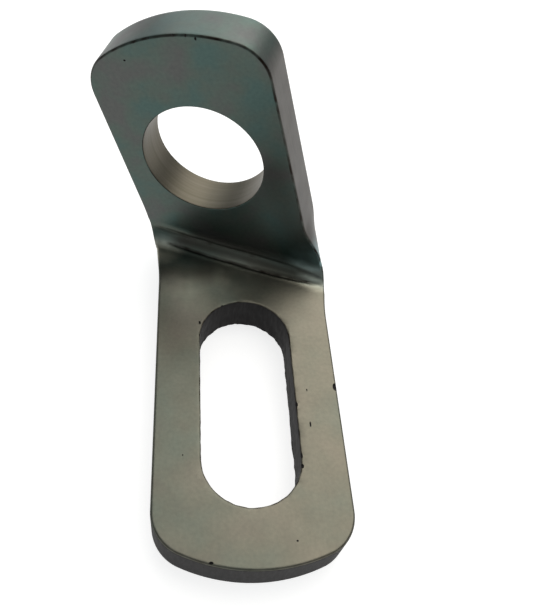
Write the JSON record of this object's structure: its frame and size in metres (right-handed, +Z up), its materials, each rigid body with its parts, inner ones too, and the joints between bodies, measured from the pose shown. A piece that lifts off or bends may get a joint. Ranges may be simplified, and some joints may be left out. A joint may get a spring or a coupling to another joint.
{
  "type": "tachometer bracket",
  "caption": "Angled steel bracket bent on a skewed line, with a slotted foot for adjustment and a leaning arm with a round hole for a speed sensor.",
  "frame": {"origin": "middle of the foot's adjusting slot, on the foot's underside", "axes": "+Z up from the foot's underside, -Y towards the foot's rounded tip along the slot, +X to the right seen from the tip"},
  "size_m": [0.0341, 0.0604, 0.042],
  "materials": {
    "zinc_plated_steel": "dull zinc plate with a faint greenish passivate"
  },
  "bodies": {
    "root": {"tachometer_bracket": "zinc_plated_steel"}
  },
  "joints": []
}
